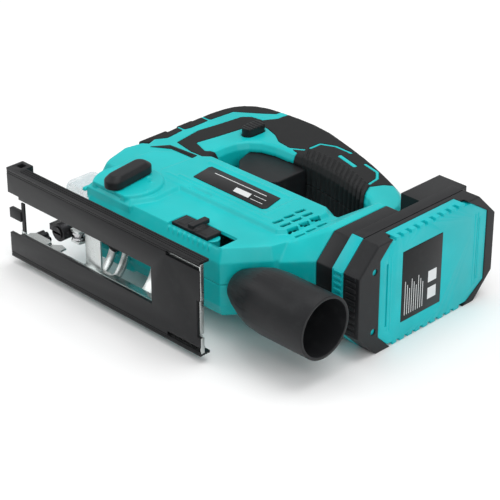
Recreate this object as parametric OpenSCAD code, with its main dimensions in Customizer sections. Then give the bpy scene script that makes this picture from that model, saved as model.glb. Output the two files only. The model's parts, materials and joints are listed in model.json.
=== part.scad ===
// Cordless jigsaw, lying on its right side.
// Design frame: x runs from the shoe's front edge to the battery, y from the sole to the handle,
// z from the middle plane to the left side. at_rest() lays the tool on its battery's side.

/* [Shoe] */
// Length of the shoe
shoe_l = 185; // [165:1:205]
// Width of the shoe
shoe_w = 66; // [62:1:76]
// Thickness of the plastic cover under the steel plate
cover_t = 2.4; // [1.8:0.1:3]
// Height of the cover's side rims above the sole
rim_h = 8; // [7:0.5:9]
// Thickness of the pressed steel plate
plate_t = 1.6; // [1.2:0.1:2]
// Width of the window for the blade
window_w = 26; // [22:1:30]
// Distance from the shoe's front edge to the window
window_front = 10; // [9:0.5:12]
// Length of the window
window_l = 131; // [120:1:136]
// Largest tilt of the shoe to either side, in degrees
bevel_angle = 45; // [15:5:45]

/* [Housing] */
// Width across the gear head
head_w = 53; // [52:1:60]
// Width across the motor
motor_w = 54; // [52:1:60]
// Width across the lower body
belly_w = 48; // [47:1:51]
// Width across the handle
handle_w = 35; // [32:1:40]
// Wall of the plastic housing
wall = 2.4; // [1.8:0.1:3]
// Thickness of the soft grip moulded over the handle
skin = 1.6; // [1.2:0.1:2]
// Height of the motor's axis above the sole
motor_y = 95; // [94:0.5:97]

/* [Drive] */
// Distance from the shoe's front edge to the plunger's axis
blade_x = 46; // [44:0.5:48]
// Stroke of the plunger
stroke = 20; // [14:1:22]
// Diameter of the plunger
plunger_d = 9; // [8:0.5:10]
// Module of the gear teeth
gear_module = 0.8; // [0.7:0.05:0.8]
// Teeth on the motor's pinion
pinion_teeth = 9; // [9:1:10]
// Teeth on the drive gear
gear_teeth = 54; // [50:1:54]
// Diameter of the motor's shaft
shaft_d = 5; // [4:0.5:5]
// Diameter of the motor's can
can_d = 45; // [40:1:45]

/* [Dust tube] */
// Outer diameter of the tube's mouth
tube_d = 42; // [38:1:44]
// Wall of the tube
tube_wall = 2.2; // [1.6:0.1:2.6]
// Height of the tube's axis above the sole
tube_y = 38.5; // [37:0.5:40]

/* [Battery] */
// Length of the battery along the tool's height
pack_l = 129; // [127:1:136]
// Wall of the battery's cases
pack_wall = 1.4; // [1.2:0.1:2]
// Diameter of a cell
cell_d = 18.4; // [17:0.1:18.6]
// Length of a cell
cell_l = 65.2; // [60:0.1:66]

/* [Fits] */
// Gap between pieces that are fixed to each other
seat_gap = 0.15; // [0.1:0.05:0.2]
// Gap between pieces that slide past each other
slide_gap = 0.3; // [0.2:0.05:0.4]
// Radial clearance of a shaft in its bearing
run_gap = 0.05; // [0.03:0.01:0.08]

/* [Hidden] */
$fn = 64;
eps = 0.01;
far = 400;

// Places along the tool that other sizes lead to
foot_x = 213;                       // rear face of the housing's foot
foot_t = 17;                        // depth of the black foot frame
foot_w = 66;                        // width of the foot frame
foot_low = 72;                      // lower end of the foot
foot_high = 152;                    // upper end of the foot
pack_x = foot_x + foot_t + slide_gap;   // front face of the battery's main block
pack_t = cell_d + 2 * pack_wall + 1.4; // thickness of the battery behind the foot
pack_w = cell_l + 2 * pack_wall + 8;    // width of the battery
pack_rear = pack_x + pack_t;
pack_low = 68;
pack_high = pack_low + pack_l;
split_y = pack_low + 18;             // where the battery's teal front ends
tool_top = 223;
tool_len = max(pack_rear, shoe_l);
mid_z = max(pack_w, shoe_w, head_w) / 2;

// Gear train
gear_gap = gear_module * (pinion_teeth + gear_teeth) / 2;  // distance between the two axes
gear_y = motor_y - gear_gap;
gear_r = gear_module * gear_teeth / 2;
pinion_r = gear_module * pinion_teeth / 2;
gear_x = blade_x + 17;              // front face of the drive gear
gear_t = 8;
gear_shaft_d = 8;
crank_d = 5;
counter_t = 3;                      // thickness of the counterweight in front of the gear
frame_wall_x = gear_x + gear_t + 2; // front face of the gear frame's wall
frame_wall_t = 7.5;
bearing_d = 16;
bearing_t = 5;
frame_half = 21;                    // half the width of the gear frame

// Motor, from front to rear
fan_x = frame_wall_x + frame_wall_t + 2;
fan_t = 7;
can_x = fan_x + fan_t + 2;
can_l = 50;
can_wall = 2;
magnet_t = 5;
air_gap = 0.6;
armature_r = can_d / 2 - can_wall - magnet_t - air_gap;
brush_x = can_x + can_l + seat_gap;
brush_t = 9;
commutator_r = 8;
rear_bearing_x = brush_x + brush_t + 3;
shaft_front = gear_x - 1.5;
pinion_bore_r = shaft_d / 2 - 1;
shaft_rear = rear_bearing_x + bearing_t + 1;

// Plunger and blade clamp
plunger_low = 20;
plunger_high = 99;
bush_t = 2.5;
low_bush_y = 44;
high_bush_y = 88;
bush_l = 9;
yoke_t = 3.5;
yoke_half = 6;                      // half the height of the yoke
yoke_x = blade_x + plunger_d / 2 + 1.6;
clamp_r = 6.2;
clamp_low = 3;
clamp_high = 16;

// Pendulum
roller_r = 4.4;
roller_x = blade_x + clamp_r + roller_r + 0.6;
roller_y = 12;
roller_pin_r = 1.5;
swing_x = blade_x + 21;
swing_y = 33;
swing_pin_r = 2.2;
selector_x = 64.5;
selector_y = 50;
selector_shaft_r = 4;
boss_r = 23.5;
boss_low = head_w / 2 - wall + 0.2;  // the boss starts inside the wall of the head
boss_top = head_w / 2 + 2.5;
foot_cut = 16;
pack_cut = 17;
name_x = 85;                        // front end of the name plates
name_l = 70;
plate_depth = 0.6;                  // depth of the name plates' seats
label_low = 108;                    // lower end of the battery's label
label_high = 146;
panel_low = 87;                     // the battery's teal rear panel
panel_high = pack_high - 8;
panel_t = 1.2;
notches = 8;
notch_step = (panel_high - panel_low - 42) / notches;
cell_low = 26.5;                    // from the battery's lower end to its first cell's axis
cell_step = (pack_l - 2 * cell_low) / 4;
board_x = foot_x + foot_t - 2.4;    // front face of the battery's board

// Controls in the handle
button_x = 52;
button_y = 178;
button_l = 19;
button_h = 9;
slider_x = 138;
slider_y = 42;
slider_l = 32;
slider_h = 13;
slider_travel = 11;
slider_depth = 2;

// Guard
recess_x = 43;                      // recess in the head's front, for the guard
recess_y = 60;
guard_x = 19.5;
guard_low = 31;
guard_high = 58;
guard_half = 20;
guard_wall = 1.6;

// Shoe
plate_y = cover_t + seat_gap;
bridge_x = 71;                      // bridge of the plate across the window
bridge_l = 15;
bridge_y = 6;
lug_l = 11;                         // front lugs of the cover
lug_w = 7;
flange_x = 38;                      // where the folded flanges of the plate start
rail_x = 96;                        // where the rails along the window start
knob_x = 17.5;
knob_z = 20;
knob_r = 6.5;
knob_h = 8;
saddle_r = 27;                      // radius of the saddle about the bevel axis
saddle_t = 2;
saddle_x = 74;
saddle_l = 50;
arch_l = 18;
bolt_x = saddle_x + arch_l / 2;
seat_r = saddle_r + slide_gap;
bolt_r = 2.9;

// Screws that hold the two housing halves: [x, y]
screw_points = [[26, 110], [22, 196], [128, 196], [196, 158], [199, 84], [152, 42], [104, 58], [35, 72]];
screw_r = 1.5;
screw_head_r = 3.2;
boss_wall = 1.8;

teal = [0.13, 0.72, 0.72];
black = [0.12, 0.12, 0.13];
steel = [0.78, 0.79, 0.8];
clear_plastic = [0.85, 0.9, 0.92, 0.4];
copper = [0.8, 0.45, 0.25];

// ---------- helpers ----------
module at_rest() translate([-tool_len / 2, -tool_top / 2, mid_z]) children();
module along_x(x, l, r) translate([x, 0, 0]) rotate([0, 90, 0]) cylinder(h = l, r = r);
module along_y(y, l, r) translate([0, y, 0]) rotate([-90, 0, 0]) cylinder(h = l, r = r);
module ring_x(x, l, r_out, r_in) difference() {
    along_x(x, l, r_out);
    along_x(x - 1, l + 2, r_in);
}
module box(x0, x1, y0, y1, z0, z1) translate([x0, y0, z0]) cube([x1 - x0, y1 - y0, z1 - z0]);
module left_half() intersection() {
    children();
    box(-far, far, -far, far, seat_gap / 2, far);
}
module right_half() mirror([0, 0, 1]) left_half() mirror([0, 0, 1]) children();
// Block whose corners are cut off by c in the y-z plane
module cut_plate(x0, x1, y0, y1, half, c) translate([x0, 0, 0]) rotate([90, 0, 90])
    linear_extrude(height = x1 - x0)
    polygon([[y0 + c, -half], [y1 - c, -half], [y1, c - half], [y1, half - c], [y1 - c, half],
        [y0 + c, half], [y0, half - c], [y0, c - half]]);
// Every corner of an anticlockwise outline moved in by d
function unit(v) = v / norm(v);
function inset(p, d) = [for (i = [0:len(p) - 1]) let (a = p[(i + len(p) - 1) % len(p)], b = p[i],
    c = p[(i + 1) % len(p)], n = unit([a[1] - b[1], b[0] - a[0]]), m = unit([b[1] - c[1], c[0] - b[0]]))
    b + d * (n + m) / (1 + n * m)];
// Each corner cut at a quarter of its two sides
function eased(p) = [for (i = [0:len(p) - 1], t = [0.25, 0.75]) p[i] * (1 - t) + p[(i + 1) % len(p)] * t];
// Prism from -half to half with its edges taken off in flats: steps lists [inset, drop from the end]
module soft_prism(p, half, steps) {
    n = len(p);
    m = len(steps);
    rings = [for (k = [0:2 * m - 1]) k < m ? [steps[m - 1 - k][0], steps[m - 1 - k][1] - half]
        : [steps[k - m][0], half - steps[k - m][1]]];
    polyhedron(points = [for (r = rings, q = inset(p, r[0])) [q[0], q[1], r[1]]],
        faces = concat([[for (i = [0:n - 1]) i]],
            [for (k = [0:2 * m - 2], i = [0:n - 1]) [k * n + i, (k + 1) * n + i,
            (k + 1) * n + (i + 1) % n, k * n + (i + 1) % n]],
                [[for (i = [0:n - 1]) (2 * m - 1) * n + n - 1 - i]]));
}

// ---------- housing ----------
// Side view of the spine and the handle, without the finger gap
handle_outline = eased([[14, 98], [190, 98], [206, 122], [207, 152], [203, 172], [188, 185], [168, 195],
    [144, 205], [116, 214], [84, tool_top], [48, tool_top], [22, 219], [7, 206], [2, 188], [2, 158],
    [4, 126]]);
gap_outline = eased([[61, 128], [74, 120.5], [168, 120.5], [184, 127], [189, 142], [183, 156],
    [160, 164], [130, 170], [104, 172], [72, 171], [59, 161], [56, 142]]);
// Side view of the lower body: head, motor and duct
body_outline = [[46, 30], [171, 30], [192, 56], [196, 70], [196, 119.2], [46, 119.2]];
nose_outline = [[24, 60], [70, 60], [70, 119.2], [40, 119.2], [17, 104], [14, 88], [20, 68]];
motor_outline = [[68, 67], [182, 67], [190, 78], [190, 113], [182, 121.4], [72, 121.4], [62, 112],
    [60, 78]];
head_outline = [[44, 31.5], [86, 31.5], [94, 48], [93, 94], [80, 108], [50, 108], [36, 96], [34, 78],
    [39, 52]];
// Side views of what the soft grip covers: three pads down the front, then the long piece
grip_pads = [[[-5, 104], [3, 110.5], [7, 114], [16, 129.5], [14, 145.5], [-5, 145.5]],
    [[-5, 147.5], [14, 147.5], [15, 152], [14.8, 169.5], [-5, 169.5]],
    [[-5, 171.5], [14.8, 171.5], [16.5, 193], [34, 206], [41, 212], [44, 240], [-5, 240]]];
grip_long = [[26, 129], [44, 125.7], [68, 126.2], [60, 141.5], [50, 133], [36, 138], [39, 156],
    [42, 178], [45, 190], [54, 190], [66, 186], [75, 180], [88, 178], [97, 176], [99, 140], [178, 140],
    [176, 154], [167, 172], [172, 181], [182, 188], [230, 240], [50, 240], [47.5, 207], [42, 197.5],
    [32, 196], [27, 190.5], [24.6, 170], [22, 153]];
// Lines of the housing that show through the long piece
grip_lines = [[[89, 176.5], [98.8, 182.7], [99.3, 197], [109, 201.4], [124, 200.9], [124, 203],
    [108.5, 203.5], [97.2, 198.5], [96.7, 184], [86, 177.3]],
    [[119.5, 192], [139.7, 186.6], [140.6, 189.8], [120.3, 195.2]],
    [[141, 194.8], [155.5, 191.4], [161.5, 184.6], [163.6, 172], [165.7, 172], [163.6, 185.4],
    [156.5, 193.5], [141.5, 197]]];
// The housing's outer form, inset by i all round and by more_i in the handle
module housing_form(i, more_i = 0) {
    handle_form(i + more_i);
    difference() {
        union() {
            soft_prism(inset(body_outline, i), belly_w / 2 - i, [[0, 9], [4, 0]]);
            soft_prism(inset(nose_outline, i), belly_w / 2 - i, [[0, 9], [4, 0]]);
            soft_prism(inset(motor_outline, i), motor_w / 2 - i, [[0, 7], [5, 0]]);
            soft_prism(inset(head_outline, i), head_w / 2 - i, [[0, 3], [3, 0]]);
        }
        // recess for the guard at the front of the head
        box(-far, recess_x + i, -far, recess_y + i - 0.2, -far, far);
    }
    flare_form(i);
}
module handle_form(i) difference() {
    soft_prism(inset(handle_outline, i), handle_w / 2 - i, [[0, 9], [1.5, 4.5], [5.5, 0]]);
    soft_prism(inset(gap_outline, -i), handle_w / 2 + 20,
        [[0, 25 + i], [-2, 21 + i], [-4, 20 + i], [-4, 0]]);
}
// Where the body widens to the foot
module flare_form(i) hull() {
    cut_plate(185 + i, 186 + i, 55 + i, 120 - i, 20 - i, 8);
    cut_plate(207, foot_x - i, foot_low + i, foot_high - i, foot_w / 2 - i, foot_cut - i / 2);
}
module selector_boss() difference() {
    union() {
        translate([selector_x, selector_y, boss_low]) cylinder(h = boss_top - 1 - boss_low, r = boss_r);
        translate([selector_x, selector_y, boss_top - 1 - eps])
            cylinder(h = 1 + eps, r1 = boss_r, r2 = boss_r - 1);
    }
    translate([selector_x, selector_y, 0]) cylinder(h = head_w / 2 + 0.2, r = boss_r - wall);
    box(-far, far, -far, 32.5, -far, far);
}
module side_prism(p) translate([0, 0, -far]) linear_extrude(height = 2 * far) polygon(p);
module grip_zone() difference() {
    union() {
        for (p = grip_pads) side_prism(p);
        side_prism(grip_long);
    }
    for (p = grip_lines) side_prism(p);
}
module grip_skin() intersection() {
    difference() {
        handle_form(0);
        handle_form(skin);
    }
    grip_zone();
}
// What is cut out of the housing's walls for the pieces that pass through it
module housing_cuts() {
    trigger_block(slide_gap);
    translate([button_x, button_y, -far])
        capsule(button_l + 2 * slide_gap, button_h + 2 * slide_gap, 2 * far);
    tube_form(seat_gap);
    // way for the plunger, the clamp and the roller fork, open at the bottom of the head
    box(33, 76, -far, 36, -15, 15);
    // seat for the shoe's saddle
    along_x(saddle_x - 8, far, seat_r + 1);
    // front of the head behind the guard
    box(-far, blade_x + 6, 20, 57, -12, 12);
    // way for the plunger through the recess
    translate([blade_x, 0, 0]) along_y(50, 25, plunger_d / 2 + 1.5);
    // battery contacts
    box(foot_x - wall - 1, foot_x + 1, 84, 112, -18, 18);
    translate([bolt_x, 0, 0]) along_y(20, 18, bolt_r + seat_gap);
    light_form(seat_gap);
    housing_vents();
    for (p = screw_points) screw_hole(p);
}
module screw_hole(p) {
    translate([p[0], p[1], -far])
        cylinder(h = far + handle_w / 2 - 4.5, r = screw_r + seat_gap, $fn = 32);
    translate([p[0], p[1], -far - handle_w / 2 + 3]) cylinder(h = far, r = screw_head_r + 0.3, $fn = 32);
}
module housing_vents() for (column = [0:3], row = [0:2])
    translate([170 + column * 6.5, 77 + row * 10, -far]) rotate([0, 0, -8]) cube([2.6, 8, 2 * far]);
module inner_supports() intersection() {
    union() {
        for (p = screw_points) translate([p[0], p[1], -far])
            cylinder(h = 2 * far, r = screw_head_r + boss_wall, $fn = 32);
        translate([rear_bearing_x, motor_y - 14.3, -far]) cube([bearing_t, 28.6, 2 * far]);
    }
    housing_form(wall / 2);
}
module housing_shell() difference() {
    union() {
        difference() {
            housing_form(0);
            housing_form(wall, skin);
        }
        inner_supports();
    }
    grip_skin();
    housing_cuts();
    translate([0, motor_y, 0]) along_x(rear_bearing_x - 1, bearing_t + 2, bearing_d / 2 + seat_gap);
}
module left_housing() color(teal) at_rest() difference() {
    union() {
        left_half() housing_shell();
        selector_boss();
    }
    translate([selector_x, selector_y, 0]) cylinder(h = far, r = selector_shaft_r + run_gap);
    box(slider_x - slider_l / 2 - 2, slider_x + slider_l / 2 + slider_travel + 2,
        slider_y - slider_h / 2 - 1.5, slider_y + slider_h / 2 + 1.5, belly_w / 2 - slider_depth, far);
    name_plate_block();
    // slot above the blower slider
    translate([97, 73, motor_w / 2 - 1.2]) cube([20, 3.5, far]);
}
module right_housing() color(teal) at_rest() difference() {
    right_half() housing_shell();
    mirror([0, 0, 1]) name_plate_block();
}
module left_grip_cover() color(black) at_rest() left_half() grip_cover_form();
module right_grip_cover() color(black) at_rest() difference() {
    right_half() grip_cover_form();
    for (p = screw_points) translate([p[0], p[1], -far]) cylinder(h = far, r = screw_head_r + 0.3);
}
module grip_cover_form() difference() {
    grip_skin();
    translate([button_x, button_y, -far]) capsule(button_l + 3, button_h + 3, 2 * far);
    trigger_block(slide_gap);
}
module name_plate_block() linear_plate(0, motor_w / 2 - plate_depth, 1);
module linear_plate(gap, z, t) translate([0, 0, z]) linear_extrude(height = t) offset(delta = -gap)
    polygon([[name_x + 3, 86], [name_x + name_l - 2, 85], [name_x + name_l, 88],
        [name_x + name_l - 4, 104.5], [name_x + 1, 105.5], [name_x, 103]]);
module left_name_plate() color(black) at_rest()
    linear_plate(seat_gap, motor_w / 2 - plate_depth + eps, 0.9);
module right_name_plate() color(black) at_rest() mirror([0, 0, 1])
    linear_plate(seat_gap, motor_w / 2 - plate_depth + eps, 0.9);
module housing_screws() color(steel) at_rest() for (p = screw_points) translate([p[0], p[1], 0]) {
    translate([0, 0, -handle_w / 2 + 3 - 2.2]) cylinder(h = 2.2 - seat_gap, r = screw_head_r, $fn = 32);
    translate([0, 0, -handle_w / 2 + 2.8]) cylinder(h = handle_w - 8, r = screw_r, $fn = 32);
}
module foot_frame() color(black) at_rest() difference() {
    cut_plate(foot_x + seat_gap, foot_x + foot_t, foot_low, foot_high, foot_w / 2, foot_cut);
    // channel for the battery's rails, open at the top
    cut_plate(foot_x - 1, foot_x + foot_t + 1, foot_low + 6, foot_high + 40, foot_w / 2 - 5,
        foot_cut - 2);
}

// ---------- guard and light ----------
// Clear guard in front of the blade clamp, open at the rear, the top and the bottom
module guard_prism(t, half) translate([0, 0, -half]) linear_extrude(height = 2 * half)
    polygon([[guard_x + 1 + t, guard_high + t], [guard_x + t, 46], [guard_x + 4 + t, guard_low - t],
        [recess_x - 0.5 + 5 * t, guard_low - t], [recess_x - 0.5 + 5 * t, guard_high + t]]);
module blade_guard() color(clear_plastic) at_rest() difference() {
    guard_prism(0, guard_half);
    guard_prism(guard_wall, guard_half - guard_wall);
}
module light_form(gap) translate([32, 0, 0]) along_y(guard_high + 0.6, 6.5, 2.8 + gap);
module work_light() color("white") at_rest() light_form(0);

// ---------- gear frame ----------
module gear_frame() color([0.66, 0.67, 0.68]) at_rest() difference() {
    union() {
        box(frame_wall_x, frame_wall_x + frame_wall_t, 38, 112, -frame_half, frame_half);
        box(blade_x - 8, frame_wall_x + eps, low_bush_y - 3.5, low_bush_y + bush_l, -9, 9);
        box(blade_x - 8, frame_wall_x + eps, high_bush_y, high_bush_y + bush_l + 7, -12, 12);
        for (z = [-9, 5]) box(swing_x - 5, frame_wall_x + eps, swing_y - 5, 40, z, z + 4);
    }
    translate([blade_x, 0, 0]) {
        along_y(0, 200, plunger_d / 2 + 1);
        // room for the clamp and its spring at the top of the stroke
        along_y(0, low_bush_y - 3, clamp_r + 0.3);
        along_y(low_bush_y, bush_l + 1, plunger_d / 2 + bush_t);
        along_y(high_bush_y - 1, bush_l + 1, plunger_d / 2 + bush_t);
    }
    translate([0, gear_y, 0]) along_x(0, 200, gear_shaft_d / 2);
    translate([0, motor_y, 0]) {
        along_x(frame_wall_x - 1, 20, shaft_d / 2 + 2.5);
        // room for the pinion
        along_x(shaft_front - 1, frame_wall_x - shaft_front + 1 + eps, pinion_r + gear_module + 0.8);
        along_x(frame_wall_x + frame_wall_t - bearing_t - seat_gap, 20, bearing_d / 2 + eps);
    }
    translate([swing_x, swing_y, -50]) cylinder(h = 100, r = swing_pin_r);
    // room for the tops of the gear's teeth
    translate([0, gear_y, 0]) along_x(gear_x - counter_t - 0.5, gear_t + counter_t + 1.5, gear_r + 2);
}
module bush(y) color("goldenrod") at_rest() translate([blade_x, 0, 0]) difference() {
    along_y(y + eps, bush_l - 2 * eps, plunger_d / 2 + bush_t - eps);
    along_y(y - 1, bush_l + 2, plunger_d / 2 + run_gap);
}
module plunger_bushes() {
    bush(low_bush_y);
    bush(high_bush_y);
}
module gear_shaft() color(steel) at_rest() translate([0, gear_y, 0]) {
    along_x(gear_x - 1, frame_wall_x + frame_wall_t - gear_x, gear_shaft_d / 2 - eps);
}

// ---------- motor ----------
module bearing(x) color(steel) at_rest() translate([0, motor_y, 0])
    ring_x(x, bearing_t, bearing_d / 2 - eps, shaft_d / 2 + run_gap);
module front_motor_bearing() bearing(frame_wall_x + frame_wall_t - bearing_t);
module rear_motor_bearing() bearing(rear_bearing_x);
module motor_can() color(steel) at_rest() translate([0, motor_y, 0])
    ring_x(can_x, can_l, can_d / 2, can_d / 2 - can_wall);
module motor_magnets() color([0.25, 0.25, 0.27]) at_rest() translate([0, motor_y, 0]) difference() {
    ring_x(can_x + 5, can_l - 10, can_d / 2 - can_wall - eps, can_d / 2 - can_wall - magnet_t);
    for (side = [-1, 1]) translate([0, side * 20, 0]) box(can_x, can_x + can_l, -8, 8, -6, 6);
}
module brush_plate() color([0.35, 0.25, 0.18]) at_rest() translate([0, motor_y, 0]) difference() {
    ring_x(brush_x, brush_t, can_d / 2 - 1, commutator_r + 1.5);
    for (side = [-1, 1]) scale([1, 1, side]) box(brush_x + 1.5, brush_x + 7.5, -2.6, 2.6, 4, 18);
}
module carbon_brushes() color([0.1, 0.1, 0.1]) at_rest() translate([0, motor_y, 0])
    for (side = [0, 1]) mirror([0, 0, side])
        box(brush_x + 1.7, brush_x + 7.3, -2.4, 2.4, commutator_r + 0.3, 17.5);
// Stepped down at the front, where the pinion is pressed on
module motor_shaft() color(steel) at_rest() translate([0, motor_y, 0]) {
    along_x(shaft_front, gear_t + 3, pinion_bore_r - eps);
    along_x(gear_x + gear_t + 1, shaft_rear - gear_x - gear_t - 1, shaft_d / 2);
}
module armature() color(copper) at_rest() translate([0, motor_y, 0]) difference() {
    union() {
        along_x(can_x + 6, can_l - 12, armature_r);
        along_x(can_x + 1.5, 5, armature_r * 0.72);
        along_x(can_x + can_l - 6.5, 5, armature_r * 0.72);
    }
    along_x(0, far, shaft_d / 2 + eps);
    for (a = [0:30:330]) rotate([a, 0, 0])
        box(can_x + 4, can_x + can_l - 4, armature_r - 3, armature_r + 2, -0.8, 0.8);
}
module commutator() color(copper) at_rest() translate([0, motor_y, 0]) difference() {
    along_x(brush_x, brush_t, commutator_r);
    along_x(0, far, shaft_d / 2 + eps);
    for (a = [0:30:330]) rotate([a, 0, 0])
        box(brush_x - 1, brush_x + 7.5, commutator_r - 0.8, commutator_r + 2, -0.3, 0.3);
}
module cooling_fan() color(black) at_rest() translate([0, motor_y, 0]) difference() {
    union() {
        along_x(fan_x, 1.4, can_d / 2 - 1);
        along_x(fan_x, fan_t, shaft_d / 2 + 3);
        for (a = [0:30:330]) rotate([a, 0, 0])
            box(fan_x + 1, fan_x + fan_t, 8, can_d / 2 - 1.2, -0.5, 0.5);
    }
    along_x(0, far, shaft_d / 2 + eps);
}

// ---------- gears and yoke ----------
// Tooth outline from the involute's usual proportions, drawn as straight flanks
module gear_2d(teeth, shift) {
    r = gear_module * teeth / 2;
    pitch = 360 / teeth;
    polygon([for (t = [0:teeth - 1],
        k = [[-0.33, -1.15], [-0.22, 0], [-0.1, 0.85], [0.1, 0.85], [0.22, 0], [0.33, -1.15]])
        (r + k[1] * gear_module) * [cos((t + k[0] + shift) * pitch), sin((t + k[0] + shift) * pitch)]]);
}
module drive_gear() color([0.55, 0.56, 0.58]) at_rest() translate([gear_x, gear_y, 0]) difference() {
    rotate([90, 0, 90]) linear_extrude(height = gear_t) gear_2d(gear_teeth, 0);
    along_x(-1, gear_t + 2, gear_shaft_d / 2 + run_gap);
    translate([0, -stroke / 2, 0]) along_x(-1, 6, crank_d / 2);
}
module pinion() color(steel) at_rest() translate([gear_x - 0.5, motor_y, 0]) difference() {
    rotate([90, 0, 90]) linear_extrude(height = gear_t + 1) rotate(180) gear_2d(pinion_teeth, 0.5);
    along_x(-1, far, pinion_bore_r);
}
module crank_pin() color(steel) at_rest() translate([0, gear_y - stroke / 2, 0])
    along_x(yoke_x + yoke_t + 0.5, gear_x + 5 - (yoke_x + yoke_t + 0.5) - 0.2, crank_d / 2 - eps);
module counterweight() color([0.4, 0.4, 0.42]) at_rest() translate([0, gear_y, 0]) difference() {
    along_x(gear_x - counter_t, counter_t, gear_r - 2);
    box(0, far, -far, 3, -far, far);
    along_x(0, far, gear_shaft_d / 2 + 1);
}
module plunger() color(steel) at_rest() translate([blade_x, 0, 0]) difference() {
    along_y(plunger_low, plunger_high - plunger_low, plunger_d / 2);
    along_y(plunger_low - 1, 12, 2.6);
}
module scotch_yoke() color(steel) at_rest() translate([0, gear_y - stroke / 2, 0]) difference() {
    union() {
        box(yoke_x, yoke_x + yoke_t, -yoke_half, yoke_half, -19, 19);
        box(blade_x, yoke_x + eps, -yoke_half, yoke_half, -7.5, 7.5);
    }
    box(yoke_x - 1, yoke_x + yoke_t + 1, -crank_d / 2 - 0.2, crank_d / 2 + 0.2, -stroke / 2 - 4,
        stroke / 2 + 4);
    translate([blade_x, 0, 0]) along_y(-50, 100, plunger_d / 2 + eps);
    box(0, blade_x, -50, 50, -50, 50);
}

// ---------- blade clamp ----------
module blade_clamp_body() color(steel) at_rest() translate([blade_x, 0, 0]) difference() {
    union() {
        along_y(clamp_low, plunger_low - clamp_low - eps, 4.2);
        along_y(plunger_low - 2 * eps, 9, 2.6 - eps);
    }
    box(-3.9, 3.9, clamp_low - 1, clamp_low + 12, -0.8, 0.8);
}
module blade_clamp_collar() color(black) at_rest() translate([blade_x, 0, 0]) difference() {
    union() {
        along_y(clamp_low + 1, clamp_high - clamp_low - 1, clamp_r);
        box(-11, 0, clamp_low + 3, clamp_high - 2, -2.2, 2.2);
    }
    along_y(0, 100, 4.2 + run_gap);
}
module clamp_spring() color(steel) at_rest() translate([blade_x, 0, 0]) difference() {
    along_y(clamp_high + 0.2, 3.5, 5.8);
    along_y(0, 100, 4.9);
}

// ---------- pendulum ----------
module roller_fork() color(steel) at_rest() difference() {
    union() {
        for (z = [-4.6, 3]) translate([0, 0, z]) linear_extrude(height = 1.6)
            polygon([[swing_x - 4, swing_y + 4], [swing_x + 4, swing_y + 4], [swing_x + 4, swing_y - 4],
                [roller_x + 6, roller_y + 2], [roller_x + 5, roller_y - 4], [roller_x - 3, roller_y - 4],
                [roller_x - 3, roller_y + 3]]);
        box(roller_x + 7, roller_x + 9, roller_y + 2, roller_y + 16, -4.6, 4.6);
    }
    translate([swing_x, swing_y, -50]) cylinder(h = 100, r = swing_pin_r + run_gap);
    translate([roller_x, roller_y, -50]) cylinder(h = 100, r = roller_pin_r);
}
module fork_pin() color(steel) at_rest() translate([swing_x, swing_y, -8.5])
    cylinder(h = 17, r = swing_pin_r - eps);
module roller_pin() color(steel) at_rest() translate([roller_x, roller_y, -4.6])
    cylinder(h = 9.2, r = roller_pin_r - eps);
module guide_roller() color(steel) at_rest() translate([roller_x, roller_y, 0]) difference() {
    rotate_extrude() polygon([[roller_pin_r + run_gap, -2.7], [roller_r, -2.7], [roller_r, -1.2],
        [roller_r - 1.2, -0.9], [roller_r - 1.2, 0.9], [roller_r, 1.2], [roller_r, 2.7],
        [roller_pin_r + run_gap, 2.7]]);
}
module selector_lever() color(black) at_rest() translate([selector_x, selector_y, boss_top + slide_gap])
    rotate([0, 0, 8]) difference() {
    hull() for (side = [-1, 1]) translate([0, side * 13.5, 0]) {
        cylinder(h = 5.5, r = 6.8, $fn = 32);
        translate([0, -side * 2, 0]) cylinder(h = 8.5, r = 4.5, $fn = 32);
    }
    translate([0, 0, -1]) cylinder(h = 4, r = selector_shaft_r - 1);
}
module selector_shaft() color(steel) at_rest() translate([selector_x, selector_y, 0]) {
    translate([0, 0, 18]) cylinder(h = boss_top + slide_gap - 18 - eps, r = selector_shaft_r);
    translate([0, 0, boss_top + slide_gap - 2 * eps]) cylinder(h = 2.9, r = selector_shaft_r - 1 - eps);
}

// ---------- controls ----------
module capsule(l, w, h) {
    translate([-w / 2, -l / 2 + w / 2, 0]) cube([w, l - w, h]);
    for (side = [-1, 1]) translate([0, side * (l - w) / 2, 0]) cylinder(h = h, r = w / 2);
}
module trigger_block(gap) translate([0, 0, -10 - gap]) linear_extrude(height = 20 + 2 * gap)
    offset(delta = gap)
    polygon([[62, 178], [62, 162], [66, 150], [75, 141], [103, 139], [109, 146], [109, 178]]);
module trigger() color(black) at_rest() difference() {
    trigger_block(0);
    translate([0, 0, -8]) linear_extrude(height = 16)
        polygon([[64.5, 180], [64.5, 163], [68, 151.5], [76, 143.5],
        [102, 141.5], [106.5, 147], [106.5, 180]]);
}
module trigger_switch() color([0.2, 0.2, 0.22]) at_rest() {
    box(62, 106, 187, 206, -9, 9);
    translate([84, 150, 0]) along_y(0, 37 + eps, 3);
}
module lock_off_button() color(black) at_rest() translate([button_x, button_y, 0]) {
    translate([0, 0, -handle_w / 2 - 1.5]) capsule(button_l, button_h, handle_w + 1.5 + 6);
}
module blower_slider() color(black) at_rest()
    translate([slider_x, slider_y, belly_w / 2 - slider_depth + 0.2]) {
    translate([-slider_l / 2, -slider_h / 2, 0]) cube([slider_l, slider_h, 2.6]);
    translate([-2.4, -slider_h / 2 + 1, 2.5]) cube([4.8, slider_h + 2, 3]);
}

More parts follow.
